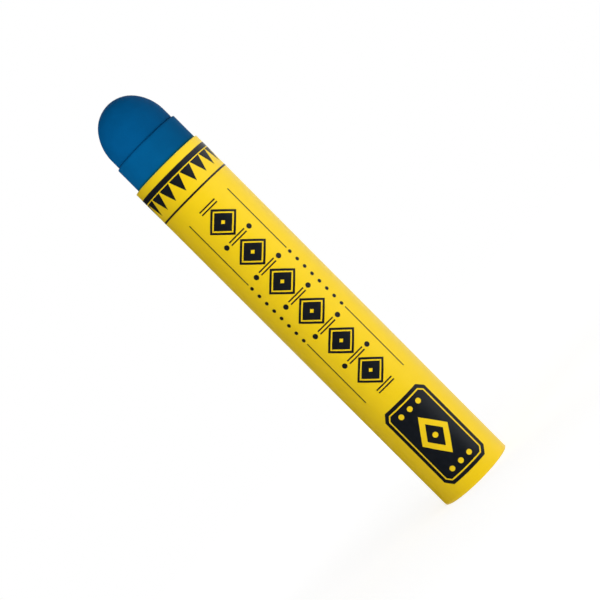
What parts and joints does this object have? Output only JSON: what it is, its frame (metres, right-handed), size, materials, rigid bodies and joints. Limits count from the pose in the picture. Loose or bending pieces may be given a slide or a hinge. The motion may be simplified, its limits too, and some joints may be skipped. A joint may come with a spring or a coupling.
{
  "type": "paint stick",
  "caption": "Solid paint marker: a cast stick of blue paint with a bullet nose, stepped at the shoulder, in a rolled yellow paper sleeve with black print.",
  "frame": {"origin": "centre of the flat bottom end of the sleeve, on the surface that the marker stands on", "axes": "+Z along the axis from the flat end to the nose, -Y towards the printed front"},
  "size_m": [0.0188, 0.0189, 0.1173],
  "materials": {
    "paint": "satin",
    "sleeve_paper": "satin",
    "ink": "satin"
  },
  "bodies": {
    "root": {"paint_stick": "paint", "paper_sleeve": "sleeve_paper"}
  },
  "joints": []
}
